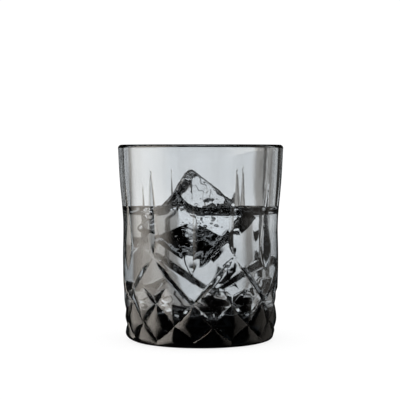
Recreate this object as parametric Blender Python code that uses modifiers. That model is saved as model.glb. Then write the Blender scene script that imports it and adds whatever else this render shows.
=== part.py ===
"""Pressed-glass whiskey tumbler holding a clear drink and one ice cube.

Units are metres and +Z is up. The foot stands on z = 0 and the tumbler's axis is the Z axis.
Around the axis, angles are in degrees from -Y and grow towards +X, so -Y is angle 0.

Sub-parts
    tumbler_glass  one piece of pressed glass: wall, thick base and a relief of V-shaped cuts
    drink          the clear liquid in the bowl, with a hollow where the ice cube sits
    ice_cube       one tilted ice cube, corner up, which lifts straight out of the mouth
"""
import math

import bmesh
import bpy
from mathutils import Matrix, Vector

MM = 0.001

# Blank of the tumbler
HEIGHT = 96.5 * MM
RIM_RADIUS = 41.0 * MM
FOOT_RADIUS = 37.4 * MM
WAIST_DEPTH = 1.1 * MM            # a soft narrowing below the middle of the wall
WAIST_HEIGHT = 59.0 * MM
WAIST_SPREAD = 11.0 * MM
HEEL_ROUNDING = 4.0 * MM
FOOT_RING_WIDTH = 3.5 * MM
PUNT_RISE = 1.5 * MM             # shallow dome under the base
RIM_THICKNESS = 3.5 * MM
BASE_THICKNESS = 13.0 * MM
INNER_CORNER = 7.0 * MM
INNER_FLOOR_RADIUS = 33.7 * MM   # of the bowl, where its corner rounding meets the wall

# Cut pattern: twelve stations around, with tall and short leaves by turns
STATIONS = 12
PITCH = 360.0 / STATIONS
LEAF_STATIONS = (0.0, PITCH)      # angles of the first tall leaf and the first short one
LEAF_BOTTOMS = (35.5 * MM, 43.5 * MM)
LEAF_MIDDLES = (48.0 * MM, 54.0 * MM)
LEAF_TOPS = (92.0 * MM, 87.0 * MM)
LEAF_HALF_WIDTHS = (7.8, 4.9)     # degrees, at the widest
LEAF_DEPTHS = (1.5 * MM, 1.0 * MM)
LEAF_TAPERS_UP = (2.5, 0.85)      # exponents of the two outlines above their widest height
LEAF_TAPER_DOWN = 2.0             # and of both below it
LEAF_HOLLOW = 1.25                # over 1 makes a leaf's two facets slightly hollow
CROSSINGS = (LEAF_BOTTOMS[1], 20.5 * MM, 10.4 * MM, 3.2 * MM)   # heights where diagonals meet
RUN = (0.0, PITCH, 1.5 * PITCH, 2.0 * PITCH)                      # degrees run by then
FACET_DEPTH = 1.8 * MM           # of the diamonds' facets, at the valleys between them
VALLEY_DEPTH = 0.5 * MM          # extra depth of the narrow V along each valley
VALLEY_HALF_WIDTH = 2.6          # degrees
LONG_GROOVE_DEPTH = 0.9 * MM     # of a long diagonal above the diamonds
PILLOW = 1.7                      # over 1 rounds the middle of a diamond
BLEND = 4.0                       # how two crossing slopes run into one another: the larger, the sharper
NO_WIDTH = 0.001                  # degrees that stand in for a V of no width at all
FACET_FADE = 8.0                 # degrees of run over which a long diagonal's facets fade upwards
EAR_LENGTH = 10.4                # degrees of run from the second crossing to a short diagonal's tip

# Contents
GAP = 0.3 * MM
DRINK_LEVEL = 65.2 * MM
ICE_SIZE = Vector((33.0, 27.0, 35.0)) * MM
ICE_ROUNDING = 2.6 * MM
ICE_CENTRE = Vector((-0.4, -10.3, 60.2)) * MM
ICE_TURN = math.radians(37.0)    # about the Y axis: stands the cube on a corner
ICE_TIP = math.radians(-6.0)     # about the X axis: leans it towards +Y

# Mesh steps
COLUMNS = 96
COLUMN = 360.0 / COLUMNS
LEAF_ROWS = 9
CORNER_STEPS = 4
LIP_STEPS = 6
HEEL_ROWS = 3
PUNT_RINGS = 3
ICE_ROUNDING_STEPS = 3
MERGE = 0.00001
ON_SURFACE = 0.00001
HEEL_CROWDING = 1.5               # over 1 brings the heel's rows closer together towards the foot

CLEAR_GLASS = (0.93, 0.94, 0.95, 1.0)
CLEAR_DRINK = (0.95, 0.97, 0.98, 1.0)
CLEAR_ICE = (0.97, 0.98, 1.0, 1.0)


def clear_scene():
    for item in list(bpy.data.objects):
        bpy.data.objects.remove(item, do_unlink=True)


def new_collection(name):
    collection = bpy.data.collections.new(name)
    bpy.context.scene.collection.children.link(collection)
    return collection


def clear_material(name, colour, ior):
    material = bpy.data.materials.new(name)
    material.use_nodes = True
    shader = material.node_tree.nodes["Principled BSDF"]
    shader.inputs["Base Color"].default_value = colour
    shader.inputs["Roughness"].default_value = 0.02
    shader.inputs["Metallic"].default_value = 0.0
    shader.inputs["IOR"].default_value = ior
    shader.inputs["Transmission Weight"].default_value = 1.0
    return material


def glass_material():
    return clear_material("glass", CLEAR_GLASS, 1.5)


def drink_material():
    return clear_material("drink", CLEAR_DRINK, 1.34)


def ice_material():
    return clear_material("ice", CLEAR_ICE, 1.31)


def interpolate(value, knots, results):
    """Straight-line interpolation; knots rise or fall, and values past the ends keep the end result."""
    pairs = sorted(zip(knots, results))
    if value <= pairs[0][0]:
        return pairs[0][1]
    for (low, at_low), (high, at_high) in zip(pairs, pairs[1:]):
        if value <= high:
            return at_low + (at_high - at_low) * (value - low) / (high - low)
    return pairs[-1][1]


def outer_radius(z):
    """Radius of the uncut blank."""
    lip = 0.5 * RIM_THICKNESS
    above_lip_centre = z - (HEIGHT - lip)
    if above_lip_centre > 0.0:
        return RIM_RADIUS - lip + math.sqrt(max(lip ** 2 - above_lip_centre ** 2, 0.0))
    taper = FOOT_RADIUS + (RIM_RADIUS - FOOT_RADIUS) * z / HEIGHT
    waist = WAIST_DEPTH * math.exp(-0.5 * ((z - WAIST_HEIGHT) / WAIST_SPREAD) ** 2)
    radius = taper - waist
    below_heel_top = max(HEEL_ROUNDING - z, 0.0)
    return radius - HEEL_ROUNDING + math.sqrt(max(HEEL_ROUNDING ** 2 - below_heel_top ** 2, 0.0))


def inner_radius(z):
    """Radius of the bowl above its corner rounding."""
    return interpolate(
        z,
        (BASE_THICKNESS + INNER_CORNER, HEIGHT - 0.5 * RIM_THICKNESS),
        (INNER_FLOOR_RADIUS, RIM_RADIUS - RIM_THICKNESS),
    )


def bowl_points(shrink):
    """The bowl's outline from its centre to the top of its corner, moved inwards by shrink."""
    centre_r = INNER_FLOOR_RADIUS - INNER_CORNER
    centre_z = BASE_THICKNESS + INNER_CORNER
    radius = INNER_CORNER - shrink
    points = [(0.0, BASE_THICKNESS + shrink)]
    for step in range(CORNER_STEPS + 1):
        turn = 0.5 * math.pi * step / CORNER_STEPS
        points.append((centre_r + radius * math.sin(turn), centre_z - radius * math.cos(turn)))
    return points


def lip_points():
    """Over the rounded lip, from the bowl side to the outside."""
    radius = 0.5 * RIM_THICKNESS
    points = []
    for step in range(LIP_STEPS + 1):
        turn = math.pi * step / LIP_STEPS
        r = RIM_RADIUS - radius - radius * math.cos(turn)
        z = HEIGHT - radius + radius * math.sin(turn)
        points.append((r, z))
    return points


def outer_heights():
    """Heights of the outer rows of vertices, top to bottom, so that every diagonal meets vertices."""
    leaf_step = (LEAF_TOPS[0] - CROSSINGS[0]) / LEAF_ROWS
    heights = [LEAF_TOPS[0] - leaf_step * row for row in range(LEAF_ROWS)]
    rows = round(RUN[-1] / COLUMN)
    heights += [interpolate(COLUMN * row, RUN, CROSSINGS) for row in range(rows + 1)]
    heights += [CROSSINGS[-1] * (1.0 - row / HEEL_ROWS) ** HEEL_CROWDING for row in range(1, HEEL_ROWS + 1)]
    return heights


def punt_points():
    """Under the base, from the foot ring's inner edge to the centre."""
    edge = FOOT_RADIUS - HEEL_ROUNDING - FOOT_RING_WIDTH
    radii = [edge * (1.0 - ring / PUNT_RINGS) for ring in range(PUNT_RINGS + 1)]
    return [(r, PUNT_RISE * (1.0 - (r / edge) ** 2)) for r in radii]


def turned(name, points, material, collection):
    """A solid turned about Z from (radius, height) points, which run down its outer side."""
    profile = bpy.data.meshes.new(name)
    vertices = [(r, 0.0, z) for r, z in points]
    profile.from_pydata(vertices, [(i, i + 1) for i in range(len(vertices) - 1)], [])
    item = bpy.data.objects.new(name, profile)
    collection.objects.link(item)
    screw = item.modifiers.new("turn", "SCREW")
    screw.axis = "Z"
    screw.steps = COLUMNS
    screw.render_steps = COLUMNS
    screw.use_merge_vertices = True
    screw.merge_threshold = MERGE
    bake(item)
    item.data.materials.append(material)
    item.data.shade_smooth()
    return item


def bake(item):
    """Replace the object's mesh with what its modifiers make of it."""
    graph = bpy.context.evaluated_depsgraph_get()
    graph.update()
    mesh = bpy.data.meshes.new_from_object(item.evaluated_get(graph))
    mesh.name = item.name
    item.modifiers.clear()
    item.data = mesh


def distance_to_line(angle, line_angle, pitch):
    """Degrees from angle to the nearest of the lines that repeat every pitch."""
    offset = (angle - line_angle) % pitch
    return min(offset, pitch - offset)


def leaf_depth(angle, z, kind):
    """Depth of one kind of leaf: a wide vertical V-cut, pointed at both ends."""
    bottom, middle, top = LEAF_BOTTOMS[kind], LEAF_MIDDLES[kind], LEAF_TOPS[kind]
    if not bottom < z < top:
        return 0.0
    if z > middle:
        width = (1.0 - (z - middle) / (top - middle)) ** LEAF_TAPERS_UP[kind]
    else:
        width = 1.0 - ((middle - z) / (middle - bottom)) ** LEAF_TAPER_DOWN
    away = distance_to_line(angle, LEAF_STATIONS[kind], 2.0 * PITCH) / (LEAF_HALF_WIDTHS[kind] * width)
    return LEAF_DEPTHS[kind] * width * max(1.0 - away, 0.0) ** LEAF_HOLLOW


def diagonal_depth(away, facet_share, groove, width):
    """Depth at a distance in degrees from a diagonal: a rounded slope on either side, and a narrow V along it."""
    slope = max(facet_share - away / (0.5 * PITCH), 0.0)
    valley = max(1.0 - away / (VALLEY_HALF_WIDTH * width + NO_WIDTH), 0.0)
    return FACET_DEPTH * slope ** PILLOW + groove * width * valley


def valley_width(run):
    """Share of its full width that the V along a diagonal has: none where diagonals cross."""
    between = run / PITCH if run < PITCH else (run - PITCH) / (0.5 * PITCH)
    return math.sin(math.pi * (between % 1.0)) ** 0.5


def lattice_depth(angle, z):
    """Depth of the diagonals, which make pillow-shaped diamonds below the second crossing."""
    run = interpolate(z, CROSSINGS, RUN)
    facets_long = min(max(1.0 - (PITCH - run) / FACET_FADE, 0.0), 1.0)
    start = min(run / FACET_FADE, 1.0)
    groove_long = (LONG_GROOVE_DEPTH + (VALLEY_DEPTH - LONG_GROOVE_DEPTH) * facets_long) * start
    ear = min(max(1.0 - (PITCH - run) / EAR_LENGTH, 0.0), 1.0)
    facets_short = 1.0 - (1.0 - ear) ** 2
    width = valley_width(run)
    total = 0.0
    for side in (1.0, -1.0):
        long_away = distance_to_line(angle, PITCH + side * run, 2.0 * PITCH)
        short_away = distance_to_line(angle, PITCH + side * (run - PITCH), 2.0 * PITCH)
        deepest = max(
            diagonal_depth(long_away, facets_long, groove_long, width),
            diagonal_depth(short_away, facets_short, VALLEY_DEPTH * facets_short, width),
        )
        total += deepest ** BLEND
    return total ** (1.0 / BLEND)


def cut_depth(angle, z):
    """How far the cuts go in below the blank's surface."""
    deepest = max(leaf_depth(angle, z, kind) for kind in range(len(LEAF_STATIONS)))
    if 0.0 < z <= CROSSINGS[0]:
        deepest = max(deepest, lattice_depth(angle, z) * min(z / CROSSINGS[-1], 1.0))
    return deepest


def angle_of(point):
    return math.degrees(math.atan2(point.x, -point.y))


def on_blank(point):
    return abs(math.hypot(point.x, point.y) - outer_radius(point.z)) < ON_SURFACE


def follow_cuts(face):
    """Split a face along the diagonal that lies deeper or shallower, whichever its middle does."""
    corners = list(face.verts)
    middle = face.calc_center_median()
    radius = math.hypot(middle.x, middle.y)
    first = 0.5 * (corners[0].co + corners[2].co)
    second = 0.5 * (corners[1].co + corners[3].co)
    wanted = outer_radius(middle.z) - cut_depth(angle_of(middle), middle.z)
    first_miss = abs(math.hypot(first.x, first.y) - wanted)
    second_miss = abs(math.hypot(second.x, second.y) - wanted)
    if max(first_miss, second_miss) < ON_SURFACE and abs(radius - wanted) < ON_SURFACE:
        return
    ends = (corners[0], corners[2]) if first_miss <= second_miss else (corners[1], corners[3])
    bmesh.utils.face_split(face, ends[0], ends[1])


def cut_pattern(item):
    """Move the blank's outer vertices in by the depth of the cuts at their place."""
    mesh = bmesh.new()
    mesh.from_mesh(item.data)
    cut = set()
    for vertex in mesh.verts:
        if not on_blank(vertex.co):
            continue
        depth = cut_depth(angle_of(vertex.co), vertex.co.z)
        if depth <= 0.0:
            continue
        share = 1.0 - depth / math.hypot(vertex.co.x, vertex.co.y)
        vertex.co.x *= share
        vertex.co.y *= share
        cut.add(vertex)
    for face in list(mesh.faces):
        if len(face.verts) == 4 and any(vertex in cut for vertex in face.verts):
            follow_cuts(face)
    mesh.to_mesh(item.data)
    mesh.free()


def make_glass(collection):
    outer = [(outer_radius(z), z) for z in outer_heights()]
    points = bowl_points(0.0) + lip_points() + outer + punt_points()
    glass = turned("tumbler_glass", points, glass_material(), collection)
    cut_pattern(glass)
    glass.data.shade_smooth()
    return glass


def ice_shape(name, grow, collection):
    """The ice cube, or with grow the same cube swollen on every side."""
    mesh = bpy.data.meshes.new(name)
    cube = bmesh.new()
    bmesh.ops.create_cube(cube, size=1.0)
    bmesh.ops.scale(cube, vec=ICE_SIZE + Vector((2.0, 2.0, 2.0)) * grow, verts=cube.verts)
    cube.to_mesh(mesh)
    cube.free()
    item = bpy.data.objects.new(name, mesh)
    collection.objects.link(item)
    bevel = item.modifiers.new("rounding", "BEVEL")
    bevel.width = ICE_ROUNDING + grow
    bevel.segments = ICE_ROUNDING_STEPS
    bake(item)
    tilt = Matrix.Rotation(ICE_TIP, 4, "X") @ Matrix.Rotation(ICE_TURN, 4, "Y")
    item.matrix_world = Matrix.Translation(ICE_CENTRE) @ tilt
    return item


def make_ice(collection):
    ice = ice_shape("ice_cube", 0.0, collection)
    ice.data.materials.append(ice_material())
    ice.data.shade_smooth()
    return ice


def make_drink(collection, cutters):
    points = [(0.0, DRINK_LEVEL), (inner_radius(DRINK_LEVEL) - GAP, DRINK_LEVEL)]
    points += reversed(bowl_points(GAP))
    drink = turned("drink", points, drink_material(), collection)
    hollow = ice_shape("ice_hollow", GAP, cutters)
    hollow.hide_render = True
    hollow.display_type = "WIRE"
    cut = drink.modifiers.new("ice hollow", "BOOLEAN")
    cut.operation = "DIFFERENCE"
    cut.solver = "EXACT"
    cut.object = hollow
    return drink


def main():
    clear_scene()
    collection = new_collection("whiskey_tumbler")
    cutters = new_collection("cutters")
    root = bpy.data.objects.new("whiskey_tumbler", None)
    collection.objects.link(root)
    glass = make_glass(collection)
    drink = make_drink(collection, cutters)
    ice = make_ice(collection)
    for item in (glass, drink, ice):
        item.parent = root


main()
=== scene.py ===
"""Looks of the pressed-glass whiskey tumbler: smoke-grey glass, clear drink and one ice cube.

Metres, +Z up, the tumbler stands on z = 0. Angles round the axis are in degrees from -Y towards +X.
"""
import math
import random

import bmesh
import bpy
from mathutils import Matrix, Vector, noise


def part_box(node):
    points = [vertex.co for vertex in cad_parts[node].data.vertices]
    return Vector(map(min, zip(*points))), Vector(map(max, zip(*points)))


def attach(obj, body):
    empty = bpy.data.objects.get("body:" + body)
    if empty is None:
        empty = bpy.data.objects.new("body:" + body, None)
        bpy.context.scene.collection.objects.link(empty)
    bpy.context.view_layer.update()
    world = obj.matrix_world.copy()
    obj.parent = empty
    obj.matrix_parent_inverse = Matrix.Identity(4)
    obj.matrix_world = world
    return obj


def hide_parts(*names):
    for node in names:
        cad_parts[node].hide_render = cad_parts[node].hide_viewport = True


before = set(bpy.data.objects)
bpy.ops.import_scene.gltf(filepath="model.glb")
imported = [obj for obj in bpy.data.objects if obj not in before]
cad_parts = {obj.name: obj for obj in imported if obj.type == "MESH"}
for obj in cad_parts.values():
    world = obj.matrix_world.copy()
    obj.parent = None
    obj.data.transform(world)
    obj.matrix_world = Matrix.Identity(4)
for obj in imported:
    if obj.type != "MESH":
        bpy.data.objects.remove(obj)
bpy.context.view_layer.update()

MM = 0.001

# Blank of the tumbler, as in the CAD part
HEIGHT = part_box("tumbler_glass")[1].z
RIM_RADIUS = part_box("tumbler_glass")[1].x
FOOT_RADIUS = 37.4 * MM
WAIST_DEPTH = 1.1 * MM            # a soft narrowing below the middle of the wall
WAIST_HEIGHT = 59.0 * MM
WAIST_SPREAD = 11.0 * MM
HEEL_ROUNDING = 4.0 * MM
FOOT_RING_WIDTH = 3.5 * MM
PUNT_RISE = 1.5 * MM
RIM_THICKNESS = 3.5 * MM
BASE_THICKNESS = 13.0 * MM
INNER_CORNER = 7.0 * MM
INNER_FLOOR_RADIUS = 33.7 * MM
INNER_SLOPE = (RIM_RADIUS - RIM_THICKNESS - INNER_FLOOR_RADIUS) / (HEIGHT - 21.75 * MM)

# Cut pattern, as in the CAD part
STATIONS = 12
PITCH = 360.0 / STATIONS
LEAF_STATIONS = (0.0, PITCH)      # angles of the first tall leaf and the first short one
LEAF_BOTTOMS = (35.5 * MM, 43.5 * MM)
LEAF_MIDDLES = (48.0 * MM, 54.0 * MM)
LEAF_TOPS = (92.0 * MM, 87.0 * MM)
LEAF_HALF_WIDTHS = (7.8, 4.9)     # degrees, at the widest
LEAF_DEPTHS = (1.5 * MM, 1.0 * MM)
LEAF_TAPERS_UP = (2.5, 0.85)      # exponents of the two outlines above their widest height
LEAF_TAPER_DOWN = 2.0             # and of both below it
LEAF_HOLLOW = 1.25                # over 1 makes a leaf's two facets slightly hollow
CROSSINGS = (LEAF_BOTTOMS[1], 20.5 * MM, 10.4 * MM, 3.2 * MM)     # heights where diagonals meet
RUN = (0.0, PITCH, 1.5 * PITCH, 2.0 * PITCH)                      # degrees run by then
FACET_DEPTH = 1.8 * MM            # of the diamonds' facets, at the valleys between them
VALLEY_DEPTH = 0.5 * MM           # extra depth of the narrow V along each valley
VALLEY_HALF_WIDTH = 2.6           # degrees
LONG_GROOVE_DEPTH = 0.9 * MM      # of a long diagonal above the diamonds
PILLOW = 1.7                      # over 1 rounds the middle of a diamond
BLEND = 4.0                       # how two crossing slopes run into one another: the larger, the sharper
NO_WIDTH = 0.001                  # degrees that stand in for a V of no width at all
FACET_FADE = 8.0                  # degrees of run over which a long diagonal's facets fade upwards
EAR_LENGTH = 10.4                 # degrees of run from the second crossing to a short diagonal's tip

# Contents
DRINK_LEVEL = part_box("drink")[1].z
WETTING = 0.1 * MM                # how far the drink reaches into the glass, so that light meets no air
AIR_FILM = 0.12 * MM              # between the drink and the ice
MENISCUS_RISE = 1.4 * MM          # at the wall
MENISCUS_REACH = 1.0 * MM
ICE_RISE = 0.9 * MM               # the same, round the ice
CLIMB_RISE = 9.0 * MM             # where the ice nearly meets the wall, the drink is drawn up between them
CLIMB_ANGLE = -11.5
CLIMB_SPREAD = 6.5                # degrees
CLIMB_SHAPE = 1.15                # 1 gives a sharp peak, 2 a bell
CLIMB_REACH = 6.0 * MM
ICE_SIZE = Vector((33.0, 27.0, 35.0)) * MM
ICE_ROUNDING = 2.6 * MM
ICE_CENTRE = Vector((-0.4, -10.3, 60.2)) * MM
ICE_TURN = math.radians(37.0)
ICE_TIP = math.radians(-6.0)
NEAR_CORNER = (-1.0 * MM, 1.0 * MM)    # right and down from the middle of the front, where melted faces meet
MELT_SPREAD = 0.55                # how steeply the melted faces' upper edges rise on either side
MELT_SLOPE = 1.25                 # how far the front has melted back, for each unit down
MELT_CHIPS = (1.3 * MM, 0.30 * MM)     # length and height of the small bumps on the melted faces
MELT_START = 1.5 * MM             # below a face's upper edge, where its bumps have their full height
MELT_LEAN = 0.12                  # how far the lower half has melted over to the left, for each unit down
ICE_WAVES = (                     # length and height of the bumps all over the block
    (9.0 * MM, 1.0 * MM),
    (3.6 * MM, 0.30 * MM),
    (1.5 * MM, 0.08 * MM),
)
FROST = 0.05                      # share of the surface that is frosted where it stands out of the drink
FROST_RISE = 4.0 * MM
BUBBLES = 70
BUBBLE_SEED = 7
BUBBLE_SIZES = (0.18 * MM, 0.85 * MM)
BUBBLE_SPREAD = 0.33              # of their places round the middle, as a share of half the block
BUBBLE_LIMIT = 0.8                # the furthest out
BUBBLE_STRETCH = 0.9
WORM_RADIUS = 0.28 * MM
WORMS = (                         # mm from the front's top corner: right and down at both ends, and depth
    ((-5.1, 6.8), (-1.5, 8.8), 1.5),
    ((2.0, 8.3), (6.8, 11.7), 1.5),
    ((0.5, 14.1), (3.9, 18.0), 2.5),
    ((3.4, 3.9), (7.8, 9.3), 3.0),
    ((9.3, 9.8), (10.2, 17.0), 4.0),
    ((-2.4, 1.9), (-2.2, 3.4), 1.0),
)
WORM_SWAY = 0.5 * MM
WORM_BENDS = 3
WORM_RINGS = 14
WORM_SIDES = 8

# Mesh steps
COLUMNS = 480
COLUMN = 360.0 / COLUMNS
BOWL_RINGS = 8
CORNER_STEPS = 10
WALL_ROWS = 12
LIP_STEPS = 14
SHOULDER_ROWS = 4
LEAF_ROWS = 52
HEEL_ROWS = 8
HEEL_CROWDING = 1.5               # over 1 brings the heel's rows closer together towards the foot
PUNT_RINGS = 8
DRINK_COLUMNS = 240
SURFACE_RINGS = 24                # in the middle of the drink's surface, and as many again in its edge
SURFACE_EDGE = 6.0 * MM
ICE_STEPS = 84                    # along each edge
CREASE = math.radians(16.0)
MERGE = 0.01 * MM                 # vertices nearer than this become one
ON_SURFACE = 0.01 * MM            # nearer than this counts as on a surface

# Materials. Grain is the faint unevenness of a surface: how many waves to a metre, and their height.
CLEAR = (1.0, 1.0, 1.0, 1.0)
GLASS_IOR = 1.5
GLASS_GRAIN = (130.0, 0.02 * MM)
GLASS_TINT = (0.97, 0.98, 0.99, 1.0)
SMOKE = (0.0, 0.04, 0.07, 1.0)    # what the glass lets through of the light that it absorbs
SMOKE_DENSITY = 95.0
DRINK_IOR = 1.333
DRINK_GRAIN = (90.0, 0.02 * MM)
DRINK_TINT = (0.98, 0.99, 1.0, 1.0)
ICE_IOR = 1.31
ICE_GRAIN = (500.0, 0.010 * MM)
ICE_TINT = (0.96, 0.98, 1.0, 1.0)

# Camera
CAMERA_AZIMUTH = 5.6
CAMERA_DISTANCE = 0.6244
CAMERA_HEIGHT = 0.093
CAMERA_LENS = 113.0
CAMERA_CLIP = (0.01, 50.0)
AIM = Vector((-0.0003, 0.0, 0.0690))
BOUNCES = 32                      # how often light is followed on, through glass, drink and ice
MIRROR_BOUNCES = 12
CLEAR_BOUNCES = 16

# Studio. Directions are in degrees to the right of the camera's own, and the set repeats all round
# the tumbler.
FLOOR_SIZE = 30.0
FLOOR_DROP = -0.0001
FLOOR_COLOUR = (0.25, 0.25, 0.25, 1.0)
FLOOR_ROUGHNESS = 0.9
FLOOR_GLOW = 0.8
BACKGROUND_LIGHT = 1.05
SCREEN_LIGHT = 1.34               # the screens as the glass sees them
SET_REPEAT = 90.0
SET = (                           # degrees, and brightness: pale screens, grey walls and black gaps
    (-45.0, 0.90),
    (-38.0, 0.90),
    (-35.5, 0.08),
    (-31.5, 0.08),
    (-31.0, 0.60),
    (-28.5, 0.70),
    (-28.0, 0.02),
    (-25.5, 0.02),
    (-25.0, 0.95),
    (-21.5, 0.85),
    (-20.0, 0.35),
    (-17.5, 0.35),
    (-15.0, 0.90),
    (-11.0, 1.00),
    (6.3, 0.97),
    (7.6, 0.42),
    (10.0, 0.38),
    (10.5, 0.04),
    (12.0, 0.05),
    (12.6, 0.50),
    (17.0, 0.40),
    (20.0, 0.22),
    (23.5, 0.18),
    (25.0, 0.05),
    (33.0, 0.05),
    (36.0, 0.85),
    (45.0, 0.90),
)
WARM = (1.0, 0.93, 0.84)          # light from the darker parts of the set
WHITE = (1.0, 1.0, 1.0)
COOL = (0.96, 0.985, 1.0)         # light from the screens
RAGGED = 3.0                      # degrees by which the edges in the set wander to either side
RAGGED_SCALE = 5.0
RAGGED_FROM = 0.25                # sine of elevation from which they wander that far
HEIGHTS = (                       # sine of elevation, and how much of the set's light is left there
    (-1.0, 0.8),
    (-0.72, 0.8),
    (-0.60, 0.70),
    (-0.46, 0.80),
    (-0.28, 0.80),
    (-0.25, 0.30),
    (-0.235, 0.0),
    (-0.17, 0.0),
    (-0.155, 0.95),
    (-0.05, 1.0),
    (0.050, 1.0),
    (0.085, 0.90),
    (0.095, 0.0),
    (0.24, 0.0),
    (0.26, 0.35),
    (0.36, 0.15),
    (0.42, 0.0),
    (1.0, 0.0),
)
DARK_FLOOR = -0.575               # sine of elevation of the middle of a dark stretch of floor
DARK_FLOOR_DEPTH = (0.325, 0.335)      # from there up and down, to where it begins to end and ends
DARK_FLOOR_WIDTH = (34.0, 40.0)        # degrees to either side, the same
TABLES = (                        # dark patches: azimuth, half width, sine of elevation, half height
    (-8.5, 3.2, -0.085, 0.013),
    (-23.5, 1.8, -0.103, 0.014),
)
TABLE_EDGE = 0.12                 # softness of a patch's outline, as a share of its size
TABLE_RAGGED = 0.9
TABLE_SCALE = 26.0
MIRROR_LEFT = (-82.0, 3.8)        # degrees round from the camera, and strength, of lights only seen mirrored
MIRROR_RIGHT = (98.0, 0.35)
MIRROR_SPREAD = (0.72, 1.0)       # cosine of the angle round the tumbler, from a light's edge to its middle
MIRROR_HEIGHT = 0.15              # sine of elevation of their middles
MIRROR_FADE = (0.4, 1.0)          # from there up and down
MIRRORED_LIGHT = 0.01             # all round


def interpolate(value, knots, results):
    """Straight-line interpolation; knots rise or fall, and values past the ends keep the end result."""
    pairs = sorted(zip(knots, results))
    if value <= pairs[0][0]:
        return pairs[0][1]
    for (low, at_low), (high, at_high) in zip(pairs, pairs[1:]):
        if value <= high:
            return at_low + (at_high - at_low) * (value - low) / (high - low)
    return pairs[-1][1]


def outer_radius(z):
    """Radius of the uncut blank."""
    lip = 0.5 * RIM_THICKNESS
    above_lip_centre = z - (HEIGHT - lip)
    if above_lip_centre > 0.0:
        return RIM_RADIUS - lip + math.sqrt(max(lip ** 2 - above_lip_centre ** 2, 0.0))
    taper = FOOT_RADIUS + (RIM_RADIUS - FOOT_RADIUS) * z / HEIGHT
    waist = WAIST_DEPTH * math.exp(-0.5 * ((z - WAIST_HEIGHT) / WAIST_SPREAD) ** 2)
    radius = taper - waist
    below_heel_top = max(HEEL_ROUNDING - z, 0.0)
    return radius - HEEL_ROUNDING + math.sqrt(max(HEEL_ROUNDING ** 2 - below_heel_top ** 2, 0.0))


def inner_radius(z):
    """Radius of the bowl above its corner rounding."""
    return interpolate(
        z,
        (BASE_THICKNESS + INNER_CORNER, HEIGHT - 0.5 * RIM_THICKNESS),
        (INNER_FLOOR_RADIUS, RIM_RADIUS - RIM_THICKNESS),
    )


def spread(start, end, steps):
    """Evenly spaced values from start to end, both included."""
    return [start + (end - start) * step / steps for step in range(steps + 1)]


def bowl_points(shrink):
    """The bowl's outline from its centre to the top of its corner, moved inwards by shrink."""
    centre_r = INNER_FLOOR_RADIUS - INNER_CORNER
    centre_z = BASE_THICKNESS + INNER_CORNER
    radius = INNER_CORNER - shrink
    points = [(r, BASE_THICKNESS + shrink) for r in spread(0.0, centre_r, BOWL_RINGS)][:-1]
    for turn in spread(0.0, 0.5 * math.pi, CORNER_STEPS):
        points.append((centre_r + radius * math.sin(turn), centre_z - radius * math.cos(turn)))
    return points


def wall_points(top, shrink):
    """Up the bowl's wall from just above its corner to the given height."""
    bottom = BASE_THICKNESS + INNER_CORNER
    return [(inner_radius(z) - shrink, z) for z in spread(bottom, top, WALL_ROWS)][1:]


def lip_points():
    """Over the rounded lip, from the bowl side to the outside."""
    radius = 0.5 * RIM_THICKNESS
    return [
        (RIM_RADIUS - radius - radius * math.cos(turn), HEIGHT - radius + radius * math.sin(turn))
        for turn in spread(0.0, math.pi, LIP_STEPS)
    ]


def outer_heights():
    """Heights of the outer rows of vertices, top to bottom, so that every diagonal meets vertices."""
    heights = spread(HEIGHT - 0.5 * RIM_THICKNESS, LEAF_TOPS[0], SHOULDER_ROWS)[1:-1]
    heights += spread(LEAF_TOPS[0], CROSSINGS[0], LEAF_ROWS)[:-1]
    runs = spread(0.0, RUN[-1], round(RUN[-1] / COLUMN))
    heights += [interpolate(run, RUN, CROSSINGS) for run in runs]
    heights += [CROSSINGS[-1] * share ** HEEL_CROWDING for share in spread(1.0, 0.0, HEEL_ROWS)][1:]
    return heights


def punt_points():
    """Under the base, from the foot ring's inner edge to the centre."""
    edge = FOOT_RADIUS - HEEL_ROUNDING - FOOT_RING_WIDTH
    return [(r, PUNT_RISE * (1.0 - (r / edge) ** 2)) for r in spread(edge, 0.0, PUNT_RINGS)]


def bake(item):
    """Replace the object's mesh with what its modifiers make of it."""
    graph = bpy.context.evaluated_depsgraph_get()
    graph.update()
    mesh = bpy.data.meshes.new_from_object(item.evaluated_get(graph))
    mesh.name = item.name
    item.modifiers.clear()
    item.data = mesh


def turned(name, points, steps):
    """A solid turned about Z from (radius, height) points, which run down its outer side."""
    profile = bpy.data.meshes.new(name)
    vertices = [(r, 0.0, z) for r, z in points]
    profile.from_pydata(vertices, [(i, i + 1) for i in range(len(vertices) - 1)], [])
    item = bpy.data.objects.new(name, profile)
    bpy.context.scene.collection.objects.link(item)
    screw = item.modifiers.new("turn", "SCREW")
    screw.axis = "Z"
    screw.steps = steps
    screw.render_steps = steps
    screw.use_merge_vertices = True
    screw.merge_threshold = MERGE
    bake(item)
    item.data.shade_smooth()
    return item


def distance_to_line(angle, line_angle, pitch):
    """Degrees from angle to the nearest of the lines that repeat every pitch."""
    offset = (angle - line_angle) % pitch
    return min(offset, pitch - offset)


def leaf_depth(angle, z, kind):
    """Depth of one kind of leaf: a wide vertical V-cut, pointed at both ends."""
    bottom, middle, top = LEAF_BOTTOMS[kind], LEAF_MIDDLES[kind], LEAF_TOPS[kind]
    if not bottom < z < top:
        return 0.0
    if z > middle:
        width = (1.0 - (z - middle) / (top - middle)) ** LEAF_TAPERS_UP[kind]
    else:
        width = 1.0 - ((middle - z) / (middle - bottom)) ** LEAF_TAPER_DOWN
    away = distance_to_line(angle, LEAF_STATIONS[kind], 2.0 * PITCH) / (LEAF_HALF_WIDTHS[kind] * width)
    return LEAF_DEPTHS[kind] * width * max(1.0 - away, 0.0) ** LEAF_HOLLOW


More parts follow.
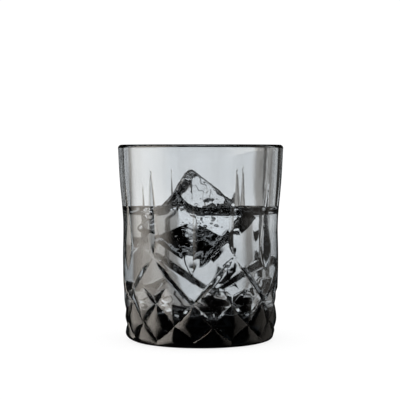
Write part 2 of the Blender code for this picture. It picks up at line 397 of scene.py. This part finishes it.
def diagonal_depth(away, facet_share, groove, width):
    """Depth at a distance in degrees from a diagonal: rounded slopes with a narrow V between them."""
    slope = max(facet_share - away / (0.5 * PITCH), 0.0)
    valley = max(1.0 - away / (VALLEY_HALF_WIDTH * width + NO_WIDTH), 0.0)
    return FACET_DEPTH * slope ** PILLOW + groove * width * valley


def valley_width(run):
    """Share of its full width that the V along a diagonal has: none where diagonals cross."""
    between = run / PITCH if run < PITCH else (run - PITCH) / (0.5 * PITCH)
    return math.sin(math.pi * (between % 1.0)) ** 0.5


def lattice_depth(angle, z):
    """Depth of the diagonals, which make pillow-shaped diamonds below the second crossing."""
    run = interpolate(z, CROSSINGS, RUN)
    facets_long = min(max(1.0 - (PITCH - run) / FACET_FADE, 0.0), 1.0)
    start = min(run / FACET_FADE, 1.0)
    groove_long = (LONG_GROOVE_DEPTH + (VALLEY_DEPTH - LONG_GROOVE_DEPTH) * facets_long) * start
    ear = min(max(1.0 - (PITCH - run) / EAR_LENGTH, 0.0), 1.0)
    facets_short = 1.0 - (1.0 - ear) ** 2
    width = valley_width(run)
    total = 0.0
    for side in (1.0, -1.0):
        long_away = distance_to_line(angle, PITCH + side * run, 2.0 * PITCH)
        short_away = distance_to_line(angle, PITCH + side * (run - PITCH), 2.0 * PITCH)
        deepest = max(
            diagonal_depth(long_away, facets_long, groove_long, width),
            diagonal_depth(short_away, facets_short, VALLEY_DEPTH * facets_short, width),
        )
        total += deepest ** BLEND
    return total ** (1.0 / BLEND)


def cut_depth(angle, z):
    """How far the cuts go in below the blank's surface."""
    deepest = max(leaf_depth(angle, z, kind) for kind in range(len(LEAF_STATIONS)))
    if 0.0 < z <= CROSSINGS[0]:
        deepest = max(deepest, lattice_depth(angle, z) * min(z / CROSSINGS[-1], 1.0))
    return deepest


def angle_of(point):
    return math.degrees(math.atan2(point.x, -point.y))


def cut_pattern(item):
    """Move the blank's outer vertices in by the depth of the cuts there, and return the depths."""
    depths = {}
    for vertex in item.data.vertices:
        point = vertex.co
        radius = math.hypot(point.x, point.y)
        if abs(radius - outer_radius(point.z)) > ON_SURFACE:
            continue
        depth = cut_depth(angle_of(point), point.z)
        point.x *= 1.0 - depth / radius
        point.y *= 1.0 - depth / radius
        depths[vertex.index] = depth
    return depths


def follow_cuts(item, depths):
    """Split each face along the deeper of its diagonals, so that the V-cuts keep a clean edge."""
    shape = bmesh.new()
    shape.from_mesh(item.data)
    for face in list(shape.faces):
        corners = [depths.get(vertex.index, 0.0) for vertex in face.verts]
        if len(corners) != 4 or max(corners) == 0.0:
            continue
        start = 0 if corners[0] + corners[2] > corners[1] + corners[3] else 1
        bmesh.utils.face_split(face, face.verts[start], face.verts[start + 2])
    shape.to_mesh(item.data)
    shape.free()
    item.data.shade_smooth()
    item.data.set_sharp_from_angle(angle=CREASE)


def make_glass():
    outer = [(outer_radius(z), z) for z in outer_heights()]
    top = HEIGHT - 0.5 * RIM_THICKNESS
    points = bowl_points(0.0) + wall_points(top, 0.0)[:-1] + lip_points() + outer + punt_points()
    glass = turned("smoke_glass", points, COLUMNS)
    follow_cuts(glass, cut_pattern(glass))
    glass.data.materials.append(glass_material())
    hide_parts("tumbler_glass")
    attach(glass, "tumbler")
    return glass


def ice_tilt():
    return Matrix.Rotation(ICE_TIP, 4, "X") @ Matrix.Rotation(ICE_TURN, 4, "Y")


def ice_waves(point):
    """How far the melted surface stands out or in."""
    return sum(height * noise.noise(point / length) for length, height in ICE_WAVES)


def melted_front(place):
    """The point with the block's lower front melted back to two slanting faces, and its lower half leant."""
    right = place.x * math.cos(ICE_TURN) + place.z * math.sin(ICE_TURN)
    down = place.x * math.sin(ICE_TURN) - place.z * math.cos(ICE_TURN)
    past = max(down - NEAR_CORNER[1] - MELT_SPREAD * abs(right - NEAR_CORNER[0]), 0.0)
    half = ICE_SIZE.y / 2.0
    length, height = MELT_CHIPS
    chips = height * noise.noise(place / length) * min(past / MELT_START, 1.0)
    kept = 1.0 - (MELT_SLOPE * past + chips) / (2.0 * half)
    lean = MELT_LEAN * max(down, 0.0)
    return Vector((
        place.x - lean * math.cos(ICE_TURN),
        half - (half - place.y) * kept,
        place.z - lean * math.sin(ICE_TURN),
    ))


def ice_block(name, grow):
    """A block with rounded edges and a melted, wavy surface, swollen on every side by grow."""
    mesh = bpy.data.meshes.new(name)
    cube = bmesh.new()
    bmesh.ops.create_cube(cube, size=1.0)
    bmesh.ops.subdivide_edges(cube, edges=cube.edges, cuts=ICE_STEPS, use_grid_fill=True)
    half = ICE_SIZE / 2.0
    for vertex in cube.verts:
        place = Vector(part * size for part, size in zip(vertex.co, ICE_SIZE))
        limits = half - Vector((ICE_ROUNDING, ICE_ROUNDING, ICE_ROUNDING))
        core = Vector(min(max(part, -limit), limit) for part, limit in zip(place, limits))
        outwards = (place - core).normalized()
        place = core + outwards * (ICE_ROUNDING + grow + ice_waves(place))
        vertex.co = ICE_CENTRE + ice_tilt().to_3x3() @ melted_front(place)
    cube.to_mesh(mesh)
    cube.free()
    block = bpy.data.objects.new(name, mesh)
    bpy.context.scene.collection.objects.link(block)
    block.data.shade_smooth()
    return block


def add_bubble(shapes, centre, size, stretch):
    """A small closed hollow inside the ice: its faces look inwards, into the air."""
    made = bmesh.ops.create_icosphere(shapes, subdivisions=2, radius=size)["verts"]
    for vertex in made:
        along = vertex.co.dot(stretch)
        vertex.co += stretch * along
        vertex.co += centre
    bmesh.ops.reverse_faces(shapes, faces=list({face for vertex in made for face in vertex.link_faces}))


def face_point(right, down, depth):
    """A point under the ice's front face, from the face's top corner."""
    turned_right = right * math.cos(ICE_TURN) + down * math.sin(ICE_TURN)
    turned_up = right * math.sin(ICE_TURN) - down * math.cos(ICE_TURN)
    half = ICE_SIZE / 2.0
    return Vector((turned_right * MM - half.x, depth * MM - half.y, turned_up * MM + half.z))


def add_worm(shapes, start, end):
    """A long thin bubble that sways from side to side, pointed at both ends."""
    along = (end - start).normalized()
    side = along.cross(Vector((0.0, 1.0, 0.0))).normalized()
    across = along.cross(side)
    turns = [math.tau * corner / WORM_SIDES for corner in range(WORM_SIDES)]
    rings = []
    for ring in range(1, WORM_RINGS):
        share = ring / WORM_RINGS
        centre = start.lerp(end, share) + side * WORM_SWAY * math.sin(WORM_BENDS * math.pi * share)
        radius = WORM_RADIUS * math.sin(math.pi * share) ** 0.5
        rings.append([
            shapes.verts.new(centre + radius * (side * math.cos(turn) + across * math.sin(turn)))
            for turn in turns
        ])
    tips = shapes.verts.new(start), shapes.verts.new(end)
    for first, second in zip(rings, rings[1:]):
        for corner in range(WORM_SIDES):
            after = (corner + 1) % WORM_SIDES
            shapes.faces.new((first[corner], first[after], second[after], second[corner]))
    for corner in range(WORM_SIDES):
        after = (corner + 1) % WORM_SIDES
        shapes.faces.new((tips[0], rings[0][after], rings[0][corner]))
        shapes.faces.new((tips[1], rings[-1][corner], rings[-1][after]))


def add_hollows(ice):
    """Bubbles and worm-like bubbles, frozen in round the middle of the block."""
    shapes = bmesh.new()
    dice = random.Random(BUBBLE_SEED)
    half = ICE_SIZE / 2.0
    for _ in range(BUBBLES):
        shares = [dice.gauss(0.0, BUBBLE_SPREAD) for _ in half]
        shares = [min(max(share, -BUBBLE_LIMIT), BUBBLE_LIMIT) for share in shares]
        place = Vector([share * limit for share, limit in zip(shares, half)])
        size = BUBBLE_SIZES[0] + (BUBBLE_SIZES[1] - BUBBLE_SIZES[0]) * dice.random() ** 2
        add_bubble(shapes, place, size, place.normalized() * dice.uniform(0.0, BUBBLE_STRETCH))
    for start, end, depth in WORMS:
        add_worm(shapes, face_point(*start, depth), face_point(*end, depth))
    for vertex in shapes.verts:
        vertex.co = ICE_CENTRE + ice_tilt().to_3x3() @ vertex.co
    shapes.from_mesh(ice.data)
    shapes.to_mesh(ice.data)
    shapes.free()
    ice.data.shade_smooth()


def make_ice():
    ice = ice_block("clear_ice", 0.0)
    add_hollows(ice)
    ice.data.materials.append(ice_material())
    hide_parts("ice_cube")
    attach(ice, "ice")
    return ice


def distance_to_ice(point):
    """How far a point is outside the ice block; 0 inside it."""
    local = ice_tilt().to_3x3().transposed() @ (point - ICE_CENTRE)
    half = ICE_SIZE / 2.0
    return Vector(max(abs(part) - limit, 0.0) for part, limit in zip(local, half)).length


def surface_rise(point):
    """How far the drink's surface is drawn up at the wall and round the ice."""
    radius = math.hypot(point.x, point.y)
    from_wall = max(inner_radius(DRINK_LEVEL) - radius, 0.0)
    rise = MENISCUS_RISE * math.exp(-from_wall / MENISCUS_REACH)
    rise += ICE_RISE * math.exp(-distance_to_ice(point) / MENISCUS_REACH)
    away = abs((angle_of(point) - CLIMB_ANGLE + 180.0) % 360.0 - 180.0) / CLIMB_SPREAD
    rise += CLIMB_RISE * math.exp(-(away ** CLIMB_SHAPE)) * math.exp(-from_wall / CLIMB_REACH)
    return rise


def raise_surface(drink, edge):
    """Draw the drink's flat top up at the wall and round the ice; its edge follows the wall's slope."""
    for vertex in drink.data.vertices:
        point = vertex.co
        if point.z < DRINK_LEVEL - ON_SURFACE:
            continue
        rise = surface_rise(point)
        radius = point.xy.length
        if radius > edge:
            point.x *= 1.0 + rise * INNER_SLOPE / radius
            point.y *= 1.0 + rise * INNER_SLOPE / radius
        point.z += rise


def make_drink():
    edge = inner_radius(DRINK_LEVEL)
    radii = spread(0.0, edge - SURFACE_EDGE, SURFACE_RINGS)[:-1]
    radii += spread(edge - SURFACE_EDGE, edge + WETTING, SURFACE_RINGS)
    top = [(r, DRINK_LEVEL) for r in radii]
    side = list(reversed(wall_points(DRINK_LEVEL, -WETTING)[:-1]))
    bottom = list(reversed(bowl_points(-WETTING)))
    drink = turned("clear_drink", top + side + bottom, DRINK_COLUMNS)
    raise_surface(drink, edge)
    hollow = ice_block("ice_hollow", AIR_FILM)
    cut = drink.modifiers.new("ice", "BOOLEAN")
    cut.operation = "DIFFERENCE"
    cut.object = hollow
    bake(drink)
    bpy.data.objects.remove(hollow)
    drink.data.shade_smooth()
    drink.data.materials.clear()
    drink.data.materials.append(drink_material())
    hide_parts("drink")
    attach(drink, "tumbler")
    return drink


def new_material(name):
    material = bpy.data.materials.new(name)
    material.use_nodes = True
    nodes = material.node_tree.nodes
    return material, nodes, material.node_tree.links, nodes["Principled BSDF"]


def clear_material(name, ior, grain, tint):
    """A clear material; noise in the piece's own coordinates makes it faintly uneven and tints it."""
    material, nodes, links, shader = new_material(name)
    shader.inputs["Roughness"].default_value = 0.0
    shader.inputs["IOR"].default_value = ior
    shader.inputs["Transmission Weight"].default_value = 1.0
    waves = nodes.new("ShaderNodeTexNoise")
    waves.inputs["Scale"].default_value = grain[0]
    waves.inputs["Detail"].default_value = 2.0
    links.new(nodes.new("ShaderNodeTexCoord").outputs["Object"], waves.inputs["Vector"])
    bump = nodes.new("ShaderNodeBump")
    bump.inputs["Strength"].default_value = 1.0
    bump.inputs["Distance"].default_value = grain[1]
    links.new(waves.outputs["Fac"], bump.inputs["Height"])
    links.new(bump.outputs["Normal"], shader.inputs["Normal"])
    mix = nodes.new("ShaderNodeMix")
    mix.data_type = "RGBA"
    mix.inputs["A"].default_value = tint
    mix.inputs["B"].default_value = CLEAR
    links.new(waves.outputs["Fac"], mix.inputs["Factor"])
    links.new(mix.outputs["Result"], shader.inputs["Base Color"])
    return material, nodes, links, shader


def glass_material():
    material, nodes, links, _ = clear_material("smoke_glass", GLASS_IOR, GLASS_GRAIN, GLASS_TINT)
    volume = nodes.new("ShaderNodeVolumeAbsorption")
    volume.inputs["Color"].default_value = SMOKE
    volume.inputs["Density"].default_value = SMOKE_DENSITY
    links.new(volume.outputs["Volume"], nodes["Material Output"].inputs["Volume"])
    return material


def drink_material():
    return clear_material("clear_drink", DRINK_IOR, DRINK_GRAIN, DRINK_TINT)[0]


def ice_material():
    """Clear ice, with a little frost on what stands out of the drink."""
    material, nodes, links, shader = clear_material("clear_ice", ICE_IOR, ICE_GRAIN, ICE_TINT)
    split = nodes.new("ShaderNodeSeparateXYZ")
    links.new(nodes.new("ShaderNodeTexCoord").outputs["Object"], split.inputs[0])
    frosted = DRINK_LEVEL + FROST_RISE
    clear = ramp(nodes, links, split.outputs[2], DRINK_LEVEL, frosted, 1.0, 1.0 - FROST)
    links.new(clear, shader.inputs["Transmission Weight"])
    return material


def make_floor():
    bpy.ops.mesh.primitive_plane_add(size=FLOOR_SIZE, location=(0.0, 0.0, FLOOR_DROP))
    floor = bpy.context.object
    floor.name = "studio_floor"
    material, _, _, shader = new_material("pale_floor")
    shader.inputs["Base Color"].default_value = FLOOR_COLOUR
    shader.inputs["Roughness"].default_value = FLOOR_ROUGHNESS
    shader.inputs["Specular IOR Level"].default_value = 0.0
    shader.inputs["Emission Color"].default_value = CLEAR
    shader.inputs["Emission Strength"].default_value = FLOOR_GLOW
    floor.data.materials.append(material)
    floor.visible_transmission = False
    floor.visible_glossy = False


def math_node(nodes, links, operation, *values):
    """A Math node; each value is a number or the output socket it is linked to."""
    node = nodes.new("ShaderNodeMath")
    node.operation = operation
    for socket, value in zip(node.inputs, values):
        if isinstance(value, bpy.types.NodeSocket):
            links.new(value, socket)
        else:
            socket.default_value = value
    return node.outputs[0]


def ramp(nodes, links, value, start, end, low=0.0, high=1.0):
    """A smooth step from low to high as the value goes from start to end."""
    node = nodes.new("ShaderNodeMapRange")
    node.interpolation_type = "SMOOTHSTEP"
    links.new(value, node.inputs["Value"])
    for name, number in (("From Min", start), ("From Max", end), ("To Min", low), ("To Max", high)):
        node.inputs[name].default_value = number
    return node.outputs["Result"]


def colour_strip(nodes, links, value, points, dark, light):
    """Colours read off along a strip: points are (value, brightness), tinted from dark to light."""
    first, last = points[0][0], points[-1][0]
    place = nodes.new("ShaderNodeMapRange")
    links.new(value, place.inputs["Value"])
    place.inputs["From Min"].default_value = first
    place.inputs["From Max"].default_value = last
    strip = nodes.new("ShaderNodeValToRGB")
    links.new(place.outputs["Result"], strip.inputs["Fac"])
    elements = strip.color_ramp.elements
    for where, _ in points[1:-1]:
        elements.new((where - first) / (last - first))
    for element, (where, brightness) in zip(elements, points):
        element.color = [brightness * (w + (c - w) * brightness) for w, c in zip(dark, light)] + [1.0]
    return strip.outputs["Color"]


def direction_angles(nodes, links):
    """Degrees to the right of the camera's direction, the sine of elevation, and the direction itself."""
    place = nodes.new("ShaderNodeTexCoord").outputs["Generated"]
    split = nodes.new("ShaderNodeSeparateXYZ")
    links.new(place, split.inputs[0])
    x, y, z = split.outputs
    turn = math_node(nodes, links, "ARCTAN2", x, y)
    degrees = math_node(nodes, links, "MULTIPLY_ADD", turn, 180.0 / math.pi, CAMERA_AZIMUTH)
    return degrees, z, place


def scaled(nodes, links, colour, factor):
    """A colour times a number, as a Vector Math node."""
    node = nodes.new("ShaderNodeVectorMath")
    node.operation = "SCALE"
    links.new(colour, node.inputs[0])
    links.new(factor, node.inputs["Scale"])
    return node.outputs[0]


def added(nodes, links, first, second):
    node = nodes.new("ShaderNodeVectorMath")
    node.operation = "ADD"
    links.new(first, node.inputs[0])
    links.new(second, node.inputs[1])
    return node.outputs[0]


def noise_between(nodes, links, place, scale, size):
    """Slow noise that stays within size of 0."""
    grain = nodes.new("ShaderNodeTexNoise")
    grain.inputs["Scale"].default_value = scale
    links.new(place, grain.inputs["Vector"])
    return math_node(nodes, links, "MULTIPLY_ADD", grain.outputs["Fac"], 2.0 * size, -size)


def distance_from(nodes, links, value, middle):
    return math_node(nodes, links, "ABSOLUTE", math_node(nodes, links, "SUBTRACT", value, middle))


def past_tables(nodes, links, degrees, z, place):
    """How much light gets past the dark tables near the floor: 0 behind one, 1 elsewhere."""
    jagged = noise_between(nodes, links, place, TABLE_SCALE, TABLE_RAGGED)
    passed = 1.0
    for azimuth, half_width, height, half_height in TABLES:
        across = distance_from(nodes, links, degrees, azimuth)
        up = distance_from(nodes, links, z, height)
        out = math_node(
            nodes, links, "MAXIMUM",
            math_node(nodes, links, "DIVIDE", across, half_width),
            math_node(nodes, links, "DIVIDE", up, half_height),
        )
        out = math_node(nodes, links, "ADD", out, jagged)
        past = ramp(nodes, links, out, 1.0 - TABLE_EDGE, 1.0 + TABLE_EDGE)
        passed = math_node(nodes, links, "MULTIPLY", passed, past)
    return passed


def past_dark_floor(nodes, links, degrees, z):
    """How much light there is beside and beyond the dark stretch of floor: 0 on it, 1 elsewhere."""
    beyond = ramp(nodes, links, distance_from(nodes, links, z, DARK_FLOOR), *DARK_FLOOR_DEPTH)
    beside = ramp(nodes, links, distance_from(nodes, links, degrees, 0.0), *DARK_FLOOR_WIDTH)
    return math_node(nodes, links, "MAXIMUM", beyond, beside)


def seen_through_glass(nodes, links):
    """The studio as light bent by the glass sees it: bright screens, grey walls and black edges."""
    degrees, z, place = direction_angles(nodes, links)
    wander = noise_between(nodes, links, place, RAGGED_SCALE, RAGGED)
    away = math_node(nodes, links, "MINIMUM", math_node(nodes, links, "ABSOLUTE", z), RAGGED_FROM)
    away = math_node(nodes, links, "DIVIDE", away, RAGGED_FROM)
    degrees = math_node(nodes, links, "ADD", degrees, math_node(nodes, links, "MULTIPLY", wander, away))
    degrees = math_node(nodes, links, "WRAP", degrees, 0.5 * SET_REPEAT, -0.5 * SET_REPEAT)
    screens = colour_strip(nodes, links, degrees, SET, WARM, COOL)
    shade = colour_strip(nodes, links, z, HEIGHTS, WHITE, WHITE)
    shade = math_node(nodes, links, "MULTIPLY", shade, SCREEN_LIGHT)
    shade = math_node(nodes, links, "MULTIPLY", shade, past_tables(nodes, links, degrees, z, place))
    shade = math_node(nodes, links, "MULTIPLY", shade, past_dark_floor(nodes, links, degrees, z))
    return scaled(nodes, links, screens, shade)


def mirrored_lobe(nodes, links, degrees, z, azimuth, strength):
    """A very soft light round one azimuth, a little above the horizon."""
    towards = math_node(nodes, links, "SUBTRACT", degrees, azimuth)
    cosine = math_node(nodes, links, "COSINE", math_node(nodes, links, "MULTIPLY", towards, math.pi / 180.0))
    sideways = ramp(nodes, links, cosine, *MIRROR_SPREAD, 0.0, strength)
    upwards = distance_from(nodes, links, z, MIRROR_HEIGHT)
    return math_node(nodes, links, "MULTIPLY", sideways, ramp(nodes, links, upwards, *MIRROR_FADE, 1.0, 0.0))


def mirrored_in_glass(nodes, links):
    """What the faces of the glass mirror: black, with a soft warm light on either side."""
    degrees, z, _ = direction_angles(nodes, links)
    left = mirrored_lobe(nodes, links, degrees, z, 180.0 - MIRROR_LEFT[0], MIRROR_LEFT[1])
    right = mirrored_lobe(nodes, links, degrees, z, 180.0 - MIRROR_RIGHT[0], MIRROR_RIGHT[1])
    light = math_node(nodes, links, "ADD", math_node(nodes, links, "ADD", left, right), MIRRORED_LIGHT)
    warm = nodes.new("ShaderNodeCombineXYZ")
    for socket, part in zip(warm.inputs, WARM):
        socket.default_value = part
    return scaled(nodes, links, warm.outputs[0], light)


def make_world():
    """White to the camera and to the floor; to light from the glass, the set or the mirrored lights."""
    world = bpy.data.worlds.new("studio")
    bpy.context.scene.world = world
    world.use_nodes = True
    nodes, links = world.node_tree.nodes, world.node_tree.links
    kind = nodes.new("ShaderNodeLightPath").outputs
    bent = scaled(nodes, links, seen_through_glass(nodes, links), kind["Is Transmission Ray"])
    # A bent ray counts as a glossy one too
    only_mirrored = math_node(
        nodes, links, "GREATER_THAN", kind["Is Glossy Ray"], kind["Is Transmission Ray"]
    )
    mirrored = scaled(nodes, links, mirrored_in_glass(nodes, links), only_mirrored)
    plain = math_node(nodes, links, "MAXIMUM", kind["Is Camera Ray"], kind["Is Diffuse Ray"])
    plain = math_node(nodes, links, "MULTIPLY", plain, BACKGROUND_LIGHT)
    everything = added(nodes, links, added(nodes, links, bent, mirrored), plain)
    links.new(everything, nodes["Background"].inputs["Color"])


def make_camera():
    data = bpy.data.cameras.new("camera")
    data.lens = CAMERA_LENS
    data.clip_start, data.clip_end = CAMERA_CLIP
    camera = bpy.data.objects.new("camera", data)
    bpy.context.scene.collection.objects.link(camera)
    azimuth = math.radians(CAMERA_AZIMUTH)
    camera.location = (
        CAMERA_DISTANCE * math.sin(azimuth),
        -CAMERA_DISTANCE * math.cos(azimuth),
        CAMERA_HEIGHT,
    )
    camera.rotation_euler = (AIM - camera.location).to_track_quat("-Z", "Y").to_euler()
    bpy.context.scene.camera = camera


def set_light_paths():
    scene = bpy.context.scene
    scene.cycles.max_bounces = BOUNCES
    scene.cycles.transmission_bounces = BOUNCES
    scene.cycles.glossy_bounces = MIRROR_BOUNCES
    scene.cycles.transparent_max_bounces = CLEAR_BOUNCES
    scene.view_settings.view_transform = "Standard"


set_light_paths()
make_camera()
make_world()
make_floor()
make_glass()
make_drink()
make_ice()
